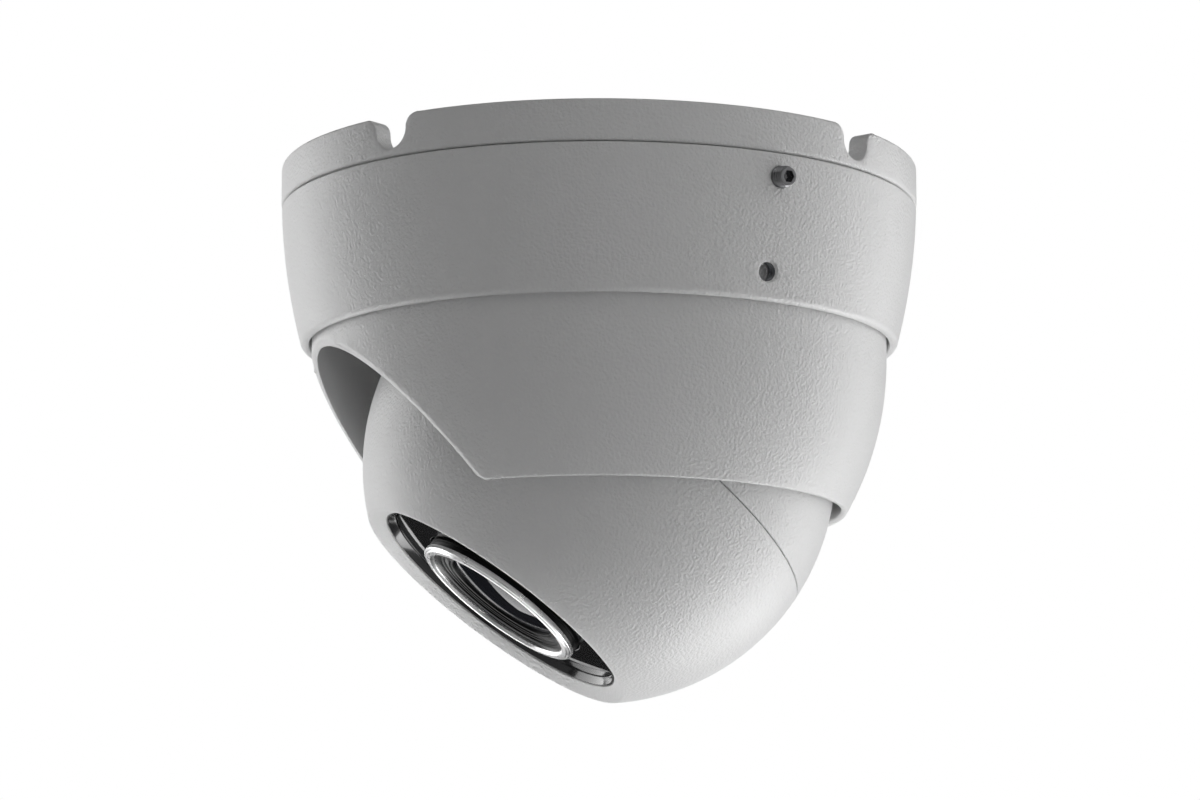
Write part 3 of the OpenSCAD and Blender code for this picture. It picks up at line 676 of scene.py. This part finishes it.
# %% Front cover
FACE_U, OPENING_R, BEVEL_U, SEAT_U, SEAT_R, PLATE_U = 34.0, 26.5, 32.4, 28.0, 24.2, 26.0
SEAM_FRONT, SEAM_REAR, INNER_R = -1.3, -1.5, 42.8
front_outline = [
    (on_ball(BALL_R, SEAM_FRONT) - 0.12, SEAM_FRONT), *ball_arc(BALL_R, SEAM_FRONT + 0.12, FACE_U - 0.9, 44),
    *rounded([(on_ball(BALL_R, FACE_U - 0.9), FACE_U - 0.9),
              (on_ball(BALL_R, FACE_U) - 0.03, FACE_U + 0.03, 0.75),
              (OPENING_R, BEVEL_U, 0.2), (OPENING_R, SEAT_U)], closed=False, count=8)[1:-1],
    (OPENING_R, SEAT_U), (SEAT_R, SEAT_U), (SEAT_R, PLATE_U), (on_ball(INNER_R, PLATE_U), PLATE_U),
    *ball_arc(INNER_R, PLATE_U, SEAM_FRONT, 24)[1:]]
front = turn("eyeball_front", front_outline, steps=256)

# %% Posts inside the front cover
posts = []
for angle in (30, 150, 270):
    post_outline = rounded([(1.1, 16), (2.4, 16, 0.2), (2.4, PLATE_U + 0.5), (1.1, PLATE_U + 0.5)])
    post = turn("post", post_outline, steps=32)
    posts.append(stand(post, x=31, turned=angle))
for angle in COVER_ANGLES:
    post = turn("post", [(1.1, SEAM_FRONT), (3.0, SEAM_FRONT), (3.0, 14), (1.1, 14)], steps=32)
    posts.append(stand(post, x=38, turned=angle))
front = stands_for(seat_in_eyeball(join(front, *posts)), "front_cover")

# %% [markdown]
# ## Rear cover
# The rear shell carries the hollow roll hub, with a groove for its circlip, and three deep
# pockets for the screws that hold the two covers together.

# %% Rear cover
HUB_R, HUB_BORE, HUB_END, GROOVE_R = 5.5, 3.8, -49.2, 4.9
rear_outline = [
    *rounded([(HUB_BORE, -44), (HUB_BORE, HUB_END, 0.3), (HUB_R, HUB_END, 0.3), (HUB_R, -48.55),
              (GROOVE_R, -48.55),
              (GROOVE_R, -47.7), (HUB_R, -47.7), (HUB_R, -on_ball(BALL_R, HUB_R), 0.5),
              (8.5, -on_ball(BALL_R, 8.5))], closed=False)[1:-1],
    *ball_arc(BALL_R, -on_ball(BALL_R, 8.5), SEAM_REAR - 0.12, 44),
    (on_ball(BALL_R, SEAM_REAR) - 0.12, SEAM_REAR), (42.2, SEAM_REAR), (42.2, 2.5), (41.2, 2.5), (41.2, -8),
    *ball_arc(INNER_R, -11.5, -on_ball(INNER_R, HUB_BORE), 30)]
rear = turn("eyeball_rear", rear_outline, steps=256)
for angle in COVER_ANGLES:
    pocket_outline = [(0, -45), (2.5, -45), (2.5, -10), (1.3, -10), (1.3, 5), (0, 5)]
    pocket = turn("pocket", pocket_outline, steps=40, closed=False)
    combine(rear, stand(pocket, x=38, turned=angle))
soften(rear, 0.25, angle=60, segments=2)

# %% Screw towers inside the rear cover
towers = []
for angle in COVER_ANGLES:
    tower_outline = [(2.5, -30), (3.6, -30), (3.6, SEAM_REAR), (1.3, SEAM_REAR), (1.3, -10), (2.5, -10)]
    tower = turn("tower", tower_outline, steps=40)
    tower = stand(tower, x=38, turned=angle)
    bpy.ops.mesh.primitive_uv_sphere_add(segments=96, ring_count=48, radius=(BALL_R - 1) * MM)
    towers.append(combine(tower, bpy.context.object, "INTERSECT"))
rear = stands_for(seat_in_eyeball(join(rear, *towers)), "rear_cover")

# %% [markdown]
# ## The face: bezel, window and lens
# Seen from the front the eyeball is a set of concentric rings: a gloss black bezel that slopes
# down to the infrared window, the dark window itself, a threaded hood, a bright turned ring, a
# stepped retainer and the front lens. Each is turned with its own edge radii, because the thin
# lines of light on those edges are what makes the face read as glass and metal.


# %% Turn a ring of the face
def face_ring(name, node, points, steps=192, closed=True):
    """A turned piece of the eyeball's face, seated on the lens axis."""
    return stands_for(seat_in_eyeball(turn(name, points, steps=steps, closed=closed)), node)


face_ring("bezel_ring", "window_bezel", rounded([
    (25.3, 28.9), (26.38, 28.9), (26.38, 32.25, 0.12), (26.0, 32.25, 0.12), (25.3, 30.95, 0.2)], count=4))
face_ring("smoked_window", "ir_window", rounded([
    (17.3, 28.9, 0.2), (25.2, 28.9, 0.2), (25.2, 30.8, 0.25), (17.3, 30.8, 0.25)]))

# %% Threaded hood
HOOD_PITCH, HOOD_LOW, HOOD_HIGH = 0.5, 27.0, 32.4
hood_turns = int((HOOD_HIGH - HOOD_LOW - 0.4) / HOOD_PITCH)
hood_outline = [(15.0, HOOD_HIGH), (15.0, HOOD_LOW)]
for k in range(hood_turns):
    low = HOOD_LOW + k * HOOD_PITCH
    hood_outline += [(16.62, low), (16.95, low + 0.2 * HOOD_PITCH), (16.95, low + 0.55 * HOOD_PITCH),
                     (16.62, low + 0.75 * HOOD_PITCH)]
hood_outline += [(16.62, HOOD_HIGH)]
face_ring("lens_hood_tube", "lens_hood", hood_outline)

# %% Bright ring, retainer and front lens
face_ring("bright_lens_ring", "lens_ring", rounded([
    (14.9, 32.4), (17.08, 32.4), (17.08, 33.15, 0.3), (16.72, 33.4, 0.12), (16.5, 33.28, 0.08),
    (16.3, 33.62, 0.3), (15.4, 33.66, 0.35), (14.9, 33.1, 0.2)], count=4))
face_ring("stepped_retainer", "lens_retainer", rounded([
    (14.88, 31.32), (14.88, 32.75, 0.12), (13.9, 32.42, 0.1), (13.85, 32.15, 0.05), (13.3, 32.12, 0.1),
    (13.25, 31.9, 0.05), (12.6, 31.88, 0.05), (12.5, 32.12, 0.1), (12.05, 32.12, 0.1), (11.95, 31.85, 0.05),
    (11.45, 31.78, 0.12), (11.4, 31.32)], count=3))
LENS_FACE_R, LENS_TOP, LENS_RIM = 40.0, 32.9, 12.2
rim_swing = math.degrees(math.asin(LENS_RIM / LENS_FACE_R))
face_ring("front_lens_glass", "front_lens", [
    *arc((0, LENS_TOP - LENS_FACE_R), LENS_FACE_R, 90, 90 - rim_swing, 24), (LENS_RIM, 27.22), (0, 27.22)],
    closed=False)

# %% [markdown]
# ## Set screw
# The screw that locks the shell to the base is a short threaded rod with a hexagon socket. It is
# backed out and stands proud. The lower hole is empty, and the cup's neck shows through it.

# %% Socket set screw
SCREW_IN, SCREW_OUT, HEX_R, HEX_DEPTH = -3.2, 2.65, 1.2, 2.2
screw_outline = thread_outline(1.93, 1.66, 0.7, SCREW_IN, SCREW_OUT)
screw = turn("socket_set_screw", screw_outline, steps=64, closed=False)
bpy.ops.mesh.primitive_cylinder_add(vertices=6, radius=HEX_R * MM, depth=2 * HEX_DEPTH * MM,
                                    location=(0, 0, SCREW_OUT * MM))
combine(screw, bpy.context.object)
soften(screw, 0.08, angle=35, segments=2)
stands_for(on_shell(screw, **BASE_SCREW), "base_lock_screw")

# %% [markdown]
# ## Smaller pieces
# The yoke, circlip, grommet and the like can be seen through the cable hole and round the
# tilted eyeball. Their CAD shapes are right, and only their facets would show. A copy of each
# mesh has its loose triangles merged and its flat faces rejoined, and all but the yoke get a
# small bevel.


# %% Refine a CAD node
def refine(node, name, bevel, angle=30):
    """A merged and smoothly shaded copy of a CAD node, bevelled when a bevel is given, which stands for the
    node.
    """
    obj = frame["nodes"][node].copy()
    obj.data = obj.data.copy()
    obj.parent = None
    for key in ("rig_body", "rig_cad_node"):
        del obj[key]
    obj.name = obj.data.name = name
    bpy.context.scene.collection.objects.link(obj)
    bpy.ops.object.select_all(action="DESELECT")
    obj.select_set(True)
    bpy.context.view_layer.objects.active = obj
    bpy.ops.object.mode_set(mode="EDIT")
    bpy.ops.mesh.select_all(action="SELECT")
    bpy.ops.mesh.remove_doubles(threshold=2e-6)
    bpy.ops.mesh.dissolve_limited(angle_limit=math.radians(0.5))
    bpy.ops.object.mode_set(mode="OBJECT")
    if bevel:
        soften(obj, bevel, angle=angle, segments=2)
    return stands_for(smooth(obj, angle), node)


for node, name, bevel in (
        ("tilt_yoke", "spring_yoke", 0), ("roll_circlip", "hub_circlip", 0.08),
        ("roll_washer", "hub_washer", 0.08),
        ("cable_grommet", "hub_grommet", 0.2), ("tilt_pin_left", "pivot_pin_left", 0.2),
        ("tilt_pin_right", "pivot_pin_right", 0.2), ("pan_retaining_ring", "threaded_retaining_ring", 0.15)):
    refine(node, name, bevel)

# %% [markdown]
# ## Studio
# The camera hangs over a plain pale floor. Large soft lights stand to the right and left, mostly
# behind it, so that the rims glow and the middle stays a quiet grey. They are all aimed at the
# object and hardly reach the floor, so the floor glows for camera rays only and lights nothing.
# The gap between cup and eyeball is hidden from every soft light, and has a narrow lamp of its own.

# %% Camera
TARGET = Vector((0, 0, -0.044375))
AZIMUTH, ELEVATION, DISTANCE = math.radians(79.07), math.radians(-10.2), 0.90336
towards = Vector((math.sin(AZIMUTH) * math.cos(ELEVATION), -math.cos(AZIMUTH) * math.cos(ELEVATION),
                  math.sin(ELEVATION)))
rightwards = Vector((math.cos(AZIMUTH), math.sin(AZIMUTH), 0))
upwards = towards.cross(rightwards)
bpy.ops.object.camera_add(location=TARGET + towards * DISTANCE)
camera = bpy.context.object
camera.rotation_mode = "QUATERNION"
camera.rotation_quaternion = (-towards).to_track_quat("-Z", "Y")
camera.data.lens, camera.data.sensor_width = 141.8, 36.0
camera.data.shift_x = 0.0008
bpy.context.scene.camera = camera
print("camera at", tuple(round(v, 4) for v in camera.location))

# %% Floor
bpy.ops.mesh.primitive_plane_add(size=12, location=(0, 0, -1.6))
floor = bpy.context.object
floor.name = "studio_floor"
paper = finish("floor_paper", (0.9, 0.9, 0.9), 0.8, grain=40, bump=0.0, mottle=0.01,
               Emission_Color=(0.9, 0.9, 0.9, 1))
seen = paper.node_tree.nodes.new("ShaderNodeLightPath")
glow = paper.node_tree.nodes["Principled BSDF"].inputs["Emission Strength"]
paper.node_tree.links.new(seen.outputs["Is Camera Ray"], glow)
floor.data.materials.append(paper)


# %% Soft lights
def soft_light(name, around, above, power, size=1.0):
    """A square soft light, by its angles round from and above the camera, seen from the object."""
    round_angle, lift = math.radians(around), math.radians(above)
    level = towards * math.cos(round_angle) + rightwards * math.sin(round_angle)
    spot = TARGET + (level * math.cos(lift) + upwards * math.sin(lift)) * 1.3
    bpy.ops.object.light_add(type="AREA", location=spot)
    light = bpy.context.object
    light.name = name
    light.rotation_mode = "QUATERNION"
    light.rotation_quaternion = (TARGET - spot).to_track_quat("-Z", "Y")
    light.data.size = size
    light.data.energy = power
    light.visible_camera = False
    return light


soft_light("low_right_back_light", 116, -45, 12)
soft_light("right_back_light", 115, 0, 6)
soft_light("right_front_light", 45, 0, 5.2, size=2.2)
soft_light("right_top_light", 90, 45, 2)
soft_light("left_front_light", -60, 0, 2, size=1.6)
soft_light("left_back_light", -122, 0, 8)
soft_light("low_left_back_light", -135, -50, 7, size=0.8)
soft_light("back_light", -170, 4, 3, size=1.1)
soft_light("top_front_light", 0, 60, 1.6)

# %% A narrow lamp that looks into the cup
CUP_GAP = Vector((-0.020, -0.048, -0.048))
LAMP_SWING, LAMP_DROP, LAMP_DISTANCE = math.radians(14), 0.06, 1.3
look = towards * math.cos(LAMP_SWING) + rightwards * math.sin(LAMP_SWING) - upwards * LAMP_DROP
bpy.ops.object.light_add(type="SPOT", location=CUP_GAP + look * LAMP_DISTANCE)
lamp = bpy.context.object
lamp.name = "cup_lamp"
lamp.rotation_mode = "QUATERNION"
lamp.rotation_quaternion = (-look).to_track_quat("-Z", "Y")
lamp.data.spot_size, lamp.data.spot_blend = math.radians(1.7), 1.0
lamp.data.energy = 240
lamp.data.shadow_soft_size = 0.16
lamp.visible_camera = False

# %% White surround and a dim fill
world = bpy.data.worlds.new("studio")
bpy.context.scene.world = world
world.use_nodes = True
nodes, links = world.node_tree.nodes, world.node_tree.links
fill = nodes["Background"]
fill.inputs["Color"].default_value = (1, 1, 1, 1)
fill.inputs["Strength"].default_value = 0.02
surround = nodes.new("ShaderNodeBackground")
surround.inputs["Color"].default_value = (1, 1, 1, 1)
surround.inputs["Strength"].default_value = 1.0
ray = nodes.new("ShaderNodeLightPath")
choose = nodes.new("ShaderNodeMixShader")
links.new(ray.outputs["Is Camera Ray"], choose.inputs["Fac"])
links.new(fill.outputs["Background"], choose.inputs[1])
links.new(surround.outputs["Background"], choose.inputs[2])
links.new(choose.outputs["Shader"], nodes["World Output"].inputs["Surface"])
bpy.context.scene.view_settings.view_transform = "Standard"
